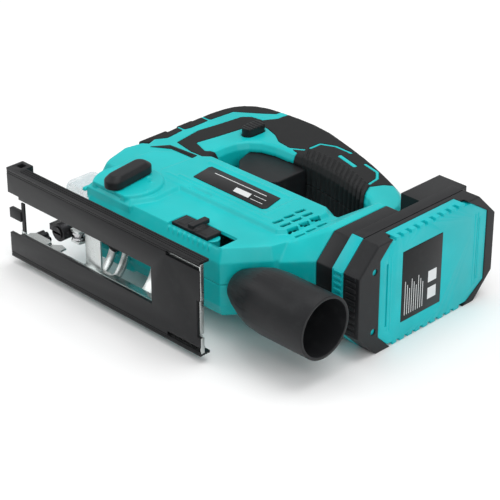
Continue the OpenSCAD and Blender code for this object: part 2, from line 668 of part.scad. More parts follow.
// ---------- dust tube ----------
tube_x = 208;
tube_end = tool_len;
tube_nose_x = 179;
module tube_form(gap) translate([0, tube_y, 0]) rotate([90, 0, 90]) rotate_extrude()
    polygon([[0, tube_nose_x - gap], [10 + gap, tube_nose_x - gap], [13.5 + gap, tube_nose_x + 6],
        [17.5 + gap, tube_nose_x + 15], [20 + gap, tube_x - 6], [tube_d / 2 + gap, tube_x + 4],
        [tube_d / 2 + gap, tube_end], [0, tube_end]]);
module dust_tube() color(black) at_rest() difference() {
    tube_form(0);
    translate([0, tube_y, 0]) rotate([90, 0, 90]) rotate_extrude()
        polygon([[0, tube_nose_x - 1], [8, tube_nose_x - 1], [11.5, tube_nose_x + 7],
            [15.5, tube_nose_x + 16], [17.6, tube_x - 5], [tube_d / 2 - tube_wall, tube_x + 5],
            [tube_d / 2 - tube_wall, tube_end + 1], [0, tube_end + 1]]);
}

// ---------- battery seat in the foot ----------
module terminal_block() color([0.15, 0.15, 0.16]) at_rest() difference() {
    box(foot_x + 0.5, foot_x + 9, foot_low + 7, foot_low + 17, -13, 13);
    for (z = [-11, -3, 5]) box(foot_x + 3, foot_x + 7, foot_low + 9, foot_low + 18, z, z + 6);
}

// ---------- shoe ----------
module shoe_cover() color(black) at_rest() difference() {
    union() {
        box(0, shoe_l, 0, cover_t, -shoe_w / 2, shoe_w / 2);
        for (side = [0, 1]) mirror([0, 0, side]) {
            box(0, shoe_l, 0, rim_h, shoe_w / 2 - 1.8, shoe_w / 2);
            // front lug with the slot for a rip fence
            box(0, lug_l, 0, 14, shoe_w / 2 - lug_w, shoe_w / 2);
        }
    }
    box(window_front, window_front + window_l, -1, 20, -window_w / 2, window_w / 2);
    box(-1, window_front + 1, -1, 20, -15, 15);
    box(3, 8, 6, 11, -far, far);
    // slots at the rear for the fence bar
    for (side = [0, 1]) mirror([0, 0, side])
        box(shoe_l - 30, shoe_l + 1, -1, cover_t + 1, shoe_w / 2 - 6, shoe_w / 2 - 3);
    // shallow bay in the rear edge
    box(shoe_l - 3, shoe_l + 1, -1, 20, -20, 6);
}
module shoe_plate() color(steel) at_rest() difference() {
    union() {
        box(window_front - 1, shoe_l - 2, plate_y, plate_y + plate_t, -shoe_w / 2 + 2.2,
            shoe_w / 2 - 2.2);
        // bridge across the window
        box(bridge_x, bridge_x + bridge_l, plate_y, bridge_y + plate_t, -window_w / 2 - 2,
            window_w / 2 + 2);
        for (side = [0, 1]) mirror([0, 0, side]) {
            box(flange_x, shoe_l - 3, plate_y, rim_h - 1, shoe_w / 2 - 3.8, shoe_w / 2 - 2.2);
            box(rail_x, window_front + window_l - 3, plate_y, rim_h + 1, window_w / 2 + 0.4,
                window_w / 2 + 2);
        }
    }
    box(window_front + 3, bridge_x - eps, -1, 20, -window_w / 2 - 0.4, window_w / 2 + 0.4);
    box(bridge_x + bridge_l + eps, window_front + window_l - 3, -1, 20, -window_w / 2 - 0.4,
        window_w / 2 + 0.4);
    box(-1, window_front + 4, -1, 20, -11, 11);
    // the bridge is raised, so that the cover passes under it
    box(bridge_x - 1, bridge_x + bridge_l + 1, -1, bridge_y, -window_w / 2 - 0.4, window_w / 2 + 0.4);
    for (side = [0, 1]) mirror([0, 0, side])
        box(-1, lug_l + seat_gap, -1, 20, shoe_w / 2 - lug_w - seat_gap, far);
    for (side = [-1, 1]) translate([knob_x, 0, side * knob_z]) along_y(-1, 20, 2.5);
    box(shoe_l - 4, shoe_l + 1, -1, 20, -20, 6);
}
module cut_line_pointer() color(black) at_rest() {
    box(0.5, window_front + 2, 0.2, 3.4, -3.5, 3.5);
    box(window_front + 2 - eps, window_front + 5, 1.2, cover_t, -10.5, 10.5);
}
module saddle_arch(r_out, r_in, x, l) intersection() {
    ring_x(x, l, r_out, r_in);
    translate([x - 1, 0, 0]) rotate([90, 0, 90]) linear_extrude(height = l + 2)
        polygon([[0, 0], [far, far * tan(57)], [far, -far * tan(57)]]);
}
module bevel_saddle() color(steel) at_rest() difference() {
    union() {
        for (x = [saddle_x, saddle_x + saddle_l - 10])
            saddle_arch(saddle_r, saddle_r - saddle_t, x, x > saddle_x ? 10 : arch_l);
        for (side = [0, 1]) mirror([0, 0, side]) {
            box(saddle_x, saddle_x + arch_l, plate_y + plate_t + seat_gap, 15.6, 20.9, 22.7);
            box(saddle_x + saddle_l - 10, saddle_x + saddle_l, plate_y + plate_t + seat_gap, 15.6, 20.9,
                22.7);
            box(saddle_x, saddle_x + saddle_l, plate_y + plate_t + seat_gap, plate_y + plate_t + 2, 17,
                28);
        }
    }
    // slot that lets the bolt stay while the shoe tilts
    translate([bolt_x - bolt_r - 0.4, 0, 0]) rotate([90, 0, 90]) linear_extrude(height = 2 * bolt_r + 0.8)
        polygon([[0, 0], [far, far * tan(52)], [far, -far * tan(52)]]);
}
module bevel_bolt() color([0.2, 0.2, 0.2]) at_rest() translate([bolt_x, 0, 0]) {
    along_y(saddle_r - saddle_t - 6, 4.8, 5.5);
    along_y(saddle_r - saddle_t - 2, 13, bolt_r);
}
module fence_knob(side) color(black) at_rest() translate([knob_x, 0, side * knob_z]) difference() {
    union() {
        along_y(plate_y + plate_t + 4, knob_h, knob_r);
        along_y(plate_y + 0.1, 7, 2.2);
    }
    for (a = [0:45:315]) rotate([0, a, 0]) translate([knob_r + 1, 0, 0])
        along_y(plate_y + plate_t + 3, 20, 1.9);
}
module left_fence_knob() fence_knob(1);
module right_fence_knob() fence_knob(-1);

// ---------- battery ----------
module pack_rails() {
    cut_plate(foot_x + 12, pack_x + 1, foot_low + 20, foot_high, foot_w / 2 - 5.4, 6);
    box(pack_x - 22, pack_x + 1, foot_high + 4, pack_high - 3, -33, 33);
}
module pack_front_form() difference() {
    cut_plate(pack_x, pack_x + 9, pack_low, pack_high, pack_w / 2, pack_cut);
    cut_plate(pack_x + pack_wall, pack_x + 10, pack_low + 2.5, pack_high - 2.5, pack_w / 2 - 2.5,
        pack_cut - 1);
}
// Teal lower part of the battery's front, with ribs round its end
module pack_front_case() color(teal) at_rest() difference() {
    pack_front_form();
    box(0, far, split_y, far, -far, far);
    for (z = [-18:4.5:18]) box(pack_x + 2.5, pack_x + 6.5, pack_low - 1, pack_low + 0.8, z - 1, z + 1);
}
// Black upper part, with the rails, the contacts' slot and the thick end
module pack_top_case() color(black) at_rest() difference() {
    union() {
        pack_front_form();
        pack_rails();
    }
    box(0, far, -far, split_y + seat_gap, -far, far);
    box(pack_x - 20, pack_x + 2.1, foot_high + 6, pack_high - 5, -30, 30);
    box(foot_x - 1, foot_x + 13, foot_low + 5, foot_low + 40, -17, 17);
    // pocket for the board of the contacts
    box(board_x - seat_gap, pack_x + pack_wall + 0.2, foot_low + 45 - seat_gap,
        foot_high - 8 + seat_gap, -22.2, 22.2);
    // well for the latch button
    box(pack_x - 23, pack_x - 12, foot_high + 12, pack_high - 10, -13 - slide_gap, 13 + slide_gap);
}
// Outline of the teal panel that shows in the bumper's rear window, in the y-z plane
module panel_prism(x0, x1, gap) translate([x0, 0, 0]) rotate([90, 0, 90]) linear_extrude(height = x1 - x0)
    polygon(inset([[panel_low, -27], [panel_low + 12, -far_side], [panel_high - 21, -far_side],
        [panel_high, -25], [panel_high, 25], [panel_high - 21, far_side], [panel_low + 12, far_side],
        [panel_low, 27]], gap));
far_side = pack_w / 2 + 0.5;
// The panel wraps over both sides of the battery between these heights
module panel_sides(gap) for (side = [0, 1]) mirror([0, 0, side])
    box(pack_x + 13 + gap, pack_rear - 0.3, panel_low + 14 + gap, panel_high - 23 - gap, pack_w / 2 - 4,
        pack_w / 2 - gap / 2);
module pack_rear_case() color(teal) at_rest() difference() {
    union() {
        cut_plate(pack_x + 9 + seat_gap, pack_rear - panel_t, pack_low + 2, pack_high - 2,
            pack_w / 2 - 2, pack_cut - 1);
        intersection() {
            panel_prism(pack_rear - panel_t - 1, pack_rear - 0.3, seat_gap);
            cut_plate(pack_x, pack_rear + 1, pack_low, pack_high, pack_w / 2 - 2.4, pack_cut - 1);
        }
        panel_sides(seat_gap);
    }
    cut_plate(pack_x + 8, pack_rear - panel_t - pack_wall, pack_low + 3.5, pack_high - 3.5,
        pack_w / 2 - 3.5, pack_cut - 2);
    box(pack_rear - 1, pack_rear + 1, label_low, label_high, -25, 25);
    // notches along both side edges
    for (side = [0, 1], k = [0:notches - 1]) mirror([0, 0, side])
        box(pack_rear - 4, pack_rear + 1, panel_low + 18 + k * notch_step,
            panel_low + 21 + k * notch_step, pack_w / 2 - 2.2, pack_w / 2 + 1);
    // two long grooves
    for (y = [panel_low + 6, panel_high - 9]) box(pack_rear - 1, pack_rear + 1, y, y + 2, -22, 22);
}
module pack_bumper() color(black) at_rest() difference() {
    cut_plate(pack_x + 9 + seat_gap, pack_rear, pack_low, pack_high, pack_w / 2, pack_cut);
    cut_plate(pack_x + 8, pack_rear - panel_t + eps, pack_low + 2 - eps, pack_high - 2 + eps,
        pack_w / 2 - 2 + eps, pack_cut - 1);
    panel_prism(pack_rear - 5, pack_rear + 1, 0);
    panel_sides(0);
    for (side = [-1, 1]) translate([0, pack_low + 14, side * 21]) along_x(pack_rear - 5, 10, 2);
}
module pack_label() color(black) at_rest() box(pack_rear - 1 + eps, pack_rear - 0.2, label_low + seat_gap,
    label_high - seat_gap, -25 + seat_gap, 25 - seat_gap);
module pack_cells() color([0.25, 0.5, 0.75]) at_rest() for (k = [0:4])
    translate([pack_x + pack_wall + 0.1 + cell_d / 2, pack_low + cell_low + k * cell_step, -cell_l / 2])
        cylinder(h = cell_l, r = cell_d / 2);
module pack_board() color([0.1, 0.4, 0.2]) at_rest()
    box(board_x, board_x + 1.6, foot_low + 45, foot_high - 8, -22, 22);
module pack_latch_button() color(black) at_rest()
    box(pack_x - 24, pack_x - 14, foot_high + 12 + slide_gap, pack_high - 10 - slide_gap, -13, 13);
module pack_latch_spring() color(steel) at_rest() translate([0, (foot_high + pack_high) / 2, 0])
    ring_x(pack_x - 13.8, 9, 3.5, 2.7);

left_housing();
right_housing();
left_grip_cover();
right_grip_cover();
left_name_plate();
right_name_plate();
housing_screws();
foot_frame();
blade_guard();
gear_frame();
gear_shaft();
plunger_bushes();
front_motor_bearing();
rear_motor_bearing();
motor_can();
motor_magnets();
brush_plate();
carbon_brushes();
motor_shaft();
armature();
commutator();
cooling_fan();
pinion();
drive_gear();
crank_pin();
counterweight();
plunger();
scotch_yoke();
blade_clamp_body();
blade_clamp_collar();
clamp_spring();
roller_fork();
fork_pin();
guide_roller();
roller_pin();
selector_lever();
selector_shaft();
trigger();
trigger_switch();
lock_off_button();
blower_slider();
work_light();
dust_tube();
terminal_block();
shoe_plate();
shoe_cover();
cut_line_pointer();
bevel_saddle();
bevel_bolt();
left_fence_knob();
right_fence_knob();
pack_front_case();
pack_top_case();
pack_rear_case();
pack_bumper();
pack_label();
pack_cells();
pack_board();
pack_latch_button();
pack_latch_spring();
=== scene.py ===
# %% [markdown]
# A cordless jigsaw, lying on its right side
#
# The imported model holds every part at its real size, in metres. This file gives those parts their
# looks. It reads the frame, measures it, and from then on every piece is placed by the tool's own
# directions: x runs from the shoe's front edge to the battery, y from the sole up to the handle, and
# z from the middle plane to the left side, which faces up here.

# %% Load the frame
import json
import math

import bpy
from mathutils import Matrix, Vector


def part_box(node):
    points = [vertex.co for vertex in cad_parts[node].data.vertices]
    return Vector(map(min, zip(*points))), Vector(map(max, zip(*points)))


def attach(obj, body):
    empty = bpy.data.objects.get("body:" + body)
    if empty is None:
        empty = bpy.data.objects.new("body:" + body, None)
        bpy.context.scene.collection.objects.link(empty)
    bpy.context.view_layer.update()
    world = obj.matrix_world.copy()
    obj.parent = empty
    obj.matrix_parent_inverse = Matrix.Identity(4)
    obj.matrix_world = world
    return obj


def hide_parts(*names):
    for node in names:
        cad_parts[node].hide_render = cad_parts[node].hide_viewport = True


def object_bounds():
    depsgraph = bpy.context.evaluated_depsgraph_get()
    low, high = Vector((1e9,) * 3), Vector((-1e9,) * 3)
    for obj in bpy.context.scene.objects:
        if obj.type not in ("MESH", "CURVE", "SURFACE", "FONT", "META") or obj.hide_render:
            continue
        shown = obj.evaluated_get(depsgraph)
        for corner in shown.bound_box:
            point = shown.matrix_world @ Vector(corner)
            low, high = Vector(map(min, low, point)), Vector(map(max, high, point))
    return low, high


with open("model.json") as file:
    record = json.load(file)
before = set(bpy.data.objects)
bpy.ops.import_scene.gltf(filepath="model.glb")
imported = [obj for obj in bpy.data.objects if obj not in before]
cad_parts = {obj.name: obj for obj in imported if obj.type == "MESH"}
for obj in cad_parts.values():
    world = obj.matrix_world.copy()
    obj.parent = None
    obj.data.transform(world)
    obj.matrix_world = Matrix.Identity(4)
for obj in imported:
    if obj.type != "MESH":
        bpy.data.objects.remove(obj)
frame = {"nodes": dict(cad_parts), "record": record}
cad_low, cad_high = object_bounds()
MM = 0.001
pack_low, pack_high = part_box("pack_bumper")
shoe_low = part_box("shoe_cover")[0]
middle_z = (pack_low.z + pack_high.z) / 2
print("CAD box", cad_low, cad_high)


def at(x, y, z):
    """A point given in millimetres from the shoe's front edge, the sole and the middle plane."""
    return Vector((shoe_low.x + x * MM, shoe_low.y + y * MM, middle_z + z * MM))

# %% [markdown]
# Small helpers for modelling by hand
#
# An operator works on whatever is selected, so each helper first deselects everything. A finished
# piece keeps its place in its mesh, with its object at the origin, as the CAD parts do.

# %% Helpers for selecting and finishing
def only(*objects):
    """Selects these objects and nothing else; the first is the active one."""
    if bpy.context.object and bpy.context.object.mode != "OBJECT":
        bpy.ops.object.mode_set(mode="OBJECT")
    bpy.ops.object.select_all(action="DESELECT")
    for piece in objects:
        piece.select_set(True)
    bpy.context.view_layer.objects.active = objects[0]


def settle(piece):
    """Moves a piece's place, turn and size into its mesh."""
    only(piece)
    bpy.ops.object.transform_apply(location=True, rotation=True, scale=True)
    return piece


def modify(piece, kind, **settings):
    """Adds a modifier, applies it, and hands the piece back."""
    only(piece)
    modifier = piece.modifiers.new(kind.title(), kind)
    for name, value in settings.items():
        setattr(modifier, name, value)
    bpy.ops.object.modifier_apply(modifier=modifier.name)
    return piece


def weld(piece, distance=0.00001, outward=True):
    """Merges doubled points and turns the faces outwards."""
    only(piece)
    bpy.ops.object.mode_set(mode="EDIT")
    bpy.ops.mesh.select_all(action="SELECT")
    bpy.ops.mesh.remove_doubles(threshold=distance)
    if outward:
        bpy.ops.mesh.normals_make_consistent(inside=False)
    bpy.ops.object.mode_set(mode="OBJECT")
    return piece


def copy_of(node, name):
    """A welded copy of a CAD part, to be finished by hand."""
    only(frame["nodes"][node])
    bpy.ops.object.duplicate()
    piece = bpy.context.object
    piece.name = piece.data.name = name
    piece.parent = None
    piece.data.materials.clear()
    return weld(piece, outward=False)


def smooth(piece, degrees=35):
    """Shades a piece smooth, but keeps edges sharper than this angle."""
    only(piece)
    bpy.ops.object.shade_smooth_by_angle(angle=math.radians(degrees))
    return piece


def turned(piece, degrees, pivot, axis="Z"):
    """Turns a piece about a pivot point."""
    turn = Matrix.Rotation(math.radians(degrees), 4, axis)
    piece.matrix_world = Matrix.Translation(pivot) @ turn @ Matrix.Translation(-pivot)
    return settle(piece)


def crisp(node, name, width, segments=2, degrees=25):
    """A copy of a flat-sided part: its flat faces made whole, then its edges rounded."""
    piece = copy_of(node, name)
    bpy.ops.object.mode_set(mode="EDIT")
    bpy.ops.mesh.select_all(action="SELECT")
    bpy.ops.mesh.dissolve_limited(angle_limit=math.radians(0.5))
    bpy.ops.object.mode_set(mode="OBJECT")
    modify(piece, "BEVEL", width=width * MM, segments=segments, limit_method="ANGLE",
           angle_limit=math.radians(degrees), use_clamp_overlap=True)
    return smooth(piece, 40)

# %% Helpers for blocks, rods and joining
def block(name, low, high, round_by=0.0, segments=3):
    """A box between two corners, its edges rounded."""
    low, high = at(*low), at(*high)
    bpy.ops.object.select_all(action="DESELECT")
    bpy.ops.mesh.primitive_cube_add(size=1, location=(low + high) / 2)
    piece = bpy.context.object
    piece.name = piece.data.name = name
    piece.scale = [abs(b - a) for a, b in zip(low, high)]
    settle(piece)
    if round_by:
        modify(piece, "BEVEL", width=round_by * MM, segments=segments, limit_method="NONE")
    return piece


def rod(name, start, end, radius, sides=48, round_by=0.0):
    """A round rod between two points, its ends rounded."""
    start, end = at(*start), at(*end)
    bpy.ops.object.select_all(action="DESELECT")
    bpy.ops.mesh.primitive_cylinder_add(vertices=sides, radius=radius * MM, depth=(end - start).length,
                                        location=(start + end) / 2)
    piece = bpy.context.object
    piece.name = piece.data.name = name
    piece.rotation_mode = "QUATERNION"
    piece.rotation_quaternion = (end - start).to_track_quat("Z", "Y")
    settle(piece)
    if round_by:
        modify(piece, "BEVEL", width=round_by * MM, segments=2, limit_method="ANGLE",
               angle_limit=math.radians(60))
    return piece


def outline_block(name, points, low, high, axis="z", round_by=0.0):
    """A flat outline pulled out between two heights. Points are (x, y), or (y, z) when axis is x."""
    def place(p, h):
        return at(p[0], p[1], h) if axis == "z" else at(h, p[0], p[1])

    bpy.ops.object.select_all(action="DESELECT")
    bpy.ops.mesh.primitive_circle_add(vertices=len(points), radius=MM, fill_type="NGON")
    piece = bpy.context.object
    piece.name = piece.data.name = name
    for vertex, point in zip(piece.data.vertices, points):
        vertex.co = piece.matrix_world.inverted() @ place(point, low)
    bpy.ops.object.mode_set(mode="EDIT")
    bpy.ops.mesh.select_all(action="SELECT")
    pull = place(points[0], high) - place(points[0], low)
    bpy.ops.mesh.extrude_region_move(TRANSFORM_OT_translate={"value": pull})
    bpy.ops.mesh.select_all(action="SELECT")
    bpy.ops.mesh.normals_make_consistent(inside=False)
    bpy.ops.object.mode_set(mode="OBJECT")
    settle(piece)
    if round_by:
        modify(piece, "BEVEL", width=round_by * MM, segments=3, limit_method="ANGLE",
               angle_limit=math.radians(20))
    return piece


def joined(name, *pieces):
    """One object made of several."""
    only(*pieces)
    if len(pieces) > 1:
        bpy.ops.object.join()
    piece = bpy.context.object
    piece.name = piece.data.name = name
    return piece


def cut(piece, *cutters, solver="EXACT"):
    """Cuts the cutters out of the piece. The manifold solver is the quick one for a fine closed net."""
    tool = joined("cutter", *cutters)
    modify(piece, "BOOLEAN", object=tool, operation="DIFFERENCE", solver=solver,
           use_self=solver == "EXACT")
    bpy.data.objects.remove(tool)
    return piece

# %% [markdown]
# Camera, floor and light
#
# The tool is seen from its front lower left, a little from above, through a long lens, so that its
# lines stay almost parallel. It lies on a pale floor between three large soft lamps.

# %% Camera
camera_azimuth, camera_elevation = math.radians(45.22), math.radians(28.29)
camera_distance = 1.15
sensor_width, lens_length = 36, 136.8
aim = at(194.8, 33.0, 33.0)
back = Vector((math.sin(camera_azimuth) * math.cos(camera_elevation),
               -math.cos(camera_azimuth) * math.cos(camera_elevation), math.sin(camera_elevation)))
bpy.ops.object.camera_add(location=aim + back * camera_distance)
camera = bpy.context.object
camera.rotation_mode = "QUATERNION"
camera.rotation_quaternion = (-back).to_track_quat("-Z", "Y")
camera.data.sensor_width, camera.data.lens = sensor_width, lens_length
camera.data.clip_start, camera.data.clip_end = 0.05, 20
bpy.context.scene.camera = camera

# %% Floor and soft lamps
bpy.ops.mesh.primitive_plane_add(size=12, location=(0, 0, cad_low.z - 0.0002))
floor = bpy.context.object
floor.name = "floor"


def soft_lamp(name, place, size, watts):
    """A square lamp that looks at the tool."""
    bpy.ops.object.light_add(type="AREA", location=place)
    lamp = bpy.context.object
    lamp.name = name
    lamp.data.size = size
    lamp.data.energy = watts
    lamp.rotation_mode = "QUATERNION"
    lamp.rotation_quaternion = (-Vector(place)).to_track_quat("-Z", "Y")
    return lamp


soft_lamp("top_lamp", (0.1, 0.25, 1.5), 1.3, 12)
soft_lamp("left_lamp", (-1.1, -0.7, 0.8), 0.9, 4.5)
soft_lamp("right_lamp", (1.2, -0.6, 0.9), 0.9, 6)
world = bpy.data.worlds.new("studio")
bpy.context.scene.world = world
world.use_nodes = True
world.node_tree.nodes["Background"].inputs["Color"].default_value = (1, 1, 1, 1)
world.node_tree.nodes["Background"].inputs["Strength"].default_value = 0.62
bpy.context.scene.view_settings.view_transform = "Standard"

# %% [markdown]
# Writing a material as sums
#
# A surface is a small recipe of noise, masks and colours. A wrapped socket lets the recipe be
# written as arithmetic: each sum adds the Math node that does it.

# %% The socket wrapper and the recipe book
class Wire:
    """One output of a node, which can be added, subtracted, multiplied and divided."""

    def __init__(self, recipe, socket):
        self.recipe, self.socket = recipe, socket

    def sum(self, operation, *values):
        return self.recipe.node("Math", {"operation": operation}, dict(enumerate(values)))

    def __add__(self, other):
        return self.sum("ADD", self, other)

    def __radd__(self, other):
        return self.sum("ADD", other, self)

    def __sub__(self, other):
        return self.sum("SUBTRACT", self, other)

    def __rsub__(self, other):
        return self.sum("SUBTRACT", other, self)

    def __mul__(self, other):
        return self.sum("MULTIPLY", self, other)

    def __rmul__(self, other):
        return self.sum("MULTIPLY", other, self)

    def __truediv__(self, other):
        return self.sum("DIVIDE", self, other)

    def __rtruediv__(self, other):
        return self.sum("DIVIDE", other, self)


class Recipe:
    """A material made of nodes around one Principled shader."""

    def __init__(self, name, **constants):
        self.material = bpy.data.materials.new(name)
        self.material.use_nodes = True
        self.tree = self.material.node_tree
        self.shader = self.tree.nodes["Principled BSDF"]
        for key, value in constants.items():
            self.shader.inputs[key.replace("_", " ")].default_value = value
        self.place = Wire(self, self.tree.nodes.new("ShaderNodeTexCoord").outputs["Object"])

    def node(self, kind, settings=None, inputs=None, output=0):
        """Adds a node: its settings first, then the values or wires of its sockets."""
        made = self.tree.nodes.new("ShaderNode" + kind)
        for key, value in (settings or {}).items():
            if key == "stops":
                while len(made.color_ramp.elements) < len(value):
                    made.color_ramp.elements.new(0.5)
                for element, (where, colour) in zip(made.color_ramp.elements, value):
                    element.position = where
                    element.color = colour
            else:
                setattr(made, key, value)
        for key, value in (inputs or {}).items():
            if isinstance(value, Wire):
                self.tree.links.new(value.socket, made.inputs[key])
            else:
                made.inputs[key].default_value = value
        return Wire(self, made.outputs[output])

    def noise(self, size_mm, detail=3.0, roughness=0.5, where=None):
        """Noise whose blots are about that many millimetres across."""
        return self.node("TexNoise", {}, {"Vector": where or self.place, "Scale": 1 / (size_mm * MM),
                                          "Detail": detail, "Roughness": roughness})

    def ramp(self, value, low, high):
        """0 below low, 1 above high, and an even climb between."""
        return self.node("MapRange", {"clamp": True}, {"Value": value, "From Min": low, "From Max": high})

    def blend(self, share, first, second):
        """The first colour where share is 0, the second where it is 1."""
        return self.node("Mix", {"data_type": "RGBA"}, {0: share, 6: first, 7: second}, output=2)

    def feed(self, **wires):
        for key, wire in wires.items():
            self.tree.links.new(wire.socket, self.shader.inputs[key.replace("_", " ")])
        return self

    def bump(self, height, depth_mm, strength=1.0):
        """Raises the surface by up to depth where height is 1."""
        wire = self.node("Bump", {}, {"Strength": strength, "Distance": depth_mm * MM, "Height": height})
        self.tree.links.new(wire.socket, self.shader.inputs["Normal"])
        return self


def rgb(red, green, blue):
    """A colour given as it looks on a screen, from 0 to 255, as the shader wants it."""
    def straight(v):
        v /= 255
        return v / 12.92 if v <= 0.04045 else ((v + 0.055) / 1.055) ** 2.4

    return (straight(red), straight(green), straight(blue), 1.0)

# %% [markdown]
# Moulded plastics
#
# The housing is glass-filled nylon, coloured through. Its mould was spark-eroded, which leaves a fine
# even grain, and handling leaves faint duller smears. The black parts have the same grain; the shoe's
# cover and the name plates are smoother. The soft grip is a rubbery plastic with no gloss at all.

# %% Plastics
def moulded(name, colour, gloss, grain_mm=0.22, depth_mm=0.012, smear=0.06, tint=0.05, shine=0.28):
    """Moulded plastic with a spark-eroded grain, a slight change of tint and faint smears."""
    recipe = Recipe(name, Specular_IOR_Level=shine)
    broad, smears, grain = recipe.noise(38, 2), recipe.noise(9, 4, 0.6), recipe.noise(grain_mm, 1)
    dark = tuple(c * (1 - tint * 2.2) for c in colour[:3]) + (1,)
    light = tuple(min(1, c * (1 + tint)) for c in colour[:3]) + (1,)
    scuff = recipe.ramp(smears, 0.52, 0.74)
    tinted = recipe.blend(recipe.ramp(broad, 0.3, 0.7), dark, light)
    worn = recipe.blend(scuff * (0.5 * tint), tinted, rgb(205, 212, 212))
    recipe.feed(Base_Color=worn, Roughness=gloss + smears * smear + scuff * 0.05 - grain * 0.05)
    return recipe.bump(grain + smears * 0.3, depth_mm).material


teal_plastic = moulded("teal_plastic", rgb(8, 186, 188), 0.40)
black_plastic = moulded("black_plastic", rgb(27, 28, 30), 0.42, tint=0.02, shine=0.24)
smooth_black = moulded("smooth_black", rgb(20, 21, 23), 0.32, grain_mm=0.5, depth_mm=0.004, smear=0.12,
                       tint=0.02, shine=0.24)
soft_rubber = moulded("soft_rubber", rgb(28, 29, 30), 0.58, grain_mm=0.35, depth_mm=0.02, smear=0.10,
                      tint=0.02, shine=0.2)
pack_teal = moulded("pack_teal", rgb(8, 180, 186), 0.40)

# %% [markdown]
# Metals
#
# The shoe's plate and the bevel saddle are pressed steel with bright zinc: it is cloudy, and the rolls
# left faint lines along it. Shafts and gears are ground or hobbed and carry an oil film. The frame
# is a raw die casting.

# %% Metals
def plated(name, colour, rough, cloud_mm=6, line=0.05, tarnish=(0.62, 0.56, 0.46, 1)):
    """Plated or ground steel: cloudy, with fine lines along x and a little tarnish."""
    recipe = Recipe(name, Metallic=1.0)
    stretched = recipe.node("Mapping", {}, {"Vector": recipe.place, "Scale": (0.06, 1, 1)})
    cloud, lines = recipe.noise(cloud_mm, 4, 0.6), recipe.noise(0.35, 2, 0.5, stretched)
    stain = recipe.ramp(recipe.noise(cloud_mm * 2.3, 5, 0.7), 0.6, 0.8)
    pale = tuple(min(1, c * 1.06) for c in colour[:3]) + (1,)
    body = recipe.blend(recipe.ramp(cloud, 0.35, 0.65), colour, pale)
    recipe.feed(Base_Color=recipe.blend(stain * 0.3, body, tarnish),
                Roughness=rough + cloud * 0.12 + lines * line + stain * 0.1)
    return recipe.bump(lines + cloud * 0.4, 0.008).material


zinc_steel = plated("zinc_steel", rgb(198, 203, 202), 0.20)
ground_steel = plated("ground_steel", rgb(190, 190, 192), 0.14, cloud_mm=3, line=0.10)
gear_steel = plated("gear_steel", rgb(138, 140, 144), 0.26, cloud_mm=2.5, line=0.06)
spring_steel = plated("spring_steel", rgb(160, 162, 165), 0.22, cloud_mm=2)
bronze = plated("sintered_bronze", rgb(186, 140, 86), 0.38, cloud_mm=1.2, tarnish=rgb(96, 66, 40))
copper = plated("winding_copper", rgb(190, 104, 62), 0.30, cloud_mm=1.5, tarnish=rgb(90, 44, 26))
cast_alloy = plated("cast_alloy", rgb(168, 170, 172), 0.46, cloud_mm=1.1, line=0.0)


def blackened(name, colour, rough):
    """Oiled black oxide on steel, rubbed brighter in places."""
    recipe = Recipe(name, Metallic=0.85)
    rub, grain = recipe.ramp(recipe.noise(3, 4, 0.65), 0.56, 0.72), recipe.noise(0.3, 2)
    recipe.feed(Base_Color=recipe.blend(rub * 0.35, colour, rgb(128, 128, 130)),
                Roughness=rough + grain * 0.15 - rub * 0.1)
    return recipe.bump(grain, 0.01).material


black_steel = blackened("black_steel", rgb(46, 46, 48), 0.34)
ferrite = blackened("ferrite", rgb(60, 60, 63), 0.6)

# %% [markdown]
# Clear plastic, lens, film and the small things inside
#
# The guard is clear polycarbonate, thin enough to show the head behind it, with faint flow marks and
# rubbed places. Labels are printed film.

# %% Clear parts and the rest
def clear(name, colour, alpha, rough):
    """Clear plastic, seen as a thin film with a bright edge and a few cloudy marks."""
    recipe = Recipe(name, Metallic=0.0, IOR=1.49)
    haze = recipe.ramp(recipe.noise(7, 4, 0.6), 0.5, 0.8)
    edge = recipe.node("LayerWeight", {}, {"Blend": 0.35}, output="Facing")
    recipe.feed(Base_Color=recipe.blend(haze, colour, rgb(238, 242, 243)),
                Alpha=alpha + haze * 0.10 + edge * 0.45,
                Roughness=rough + haze * 0.25)
    return recipe.bump(recipe.noise(11, 2), 0.05, 0.4).material


guard_clear = clear("guard_clear", rgb(214, 226, 230), 0.16, 0.06)
lens_clear = clear("lens_clear", rgb(244, 244, 236), 0.7, 0.12)
board_green = moulded("board_green", rgb(24, 92, 52), 0.3, smear=0.1)
cell_wrap = moulded("cell_wrap", rgb(38, 92, 160), 0.22, grain_mm=2, depth_mm=0.02)
phenolic = moulded("phenolic", rgb(96, 60, 38), 0.5)
carbon = moulded("carbon", rgb(38, 38, 40), 0.6)
magnet_grey = moulded("fan_black", rgb(34, 34, 38), 0.4)

pale_floor = Recipe("pale_floor")
cloudy = pale_floor.noise(600, 2)
pale_floor.feed(Base_Color=pale_floor.blend(cloudy, rgb(246, 246, 246), rgb(250, 250, 250)),
                Roughness=0.6 + cloudy * 0.1)
floor.data.materials.append(pale_floor.material)

# %% [markdown]
# Which part wears what
#
# A CAD part whose shape is already right stays, and takes its finish in its own slot.

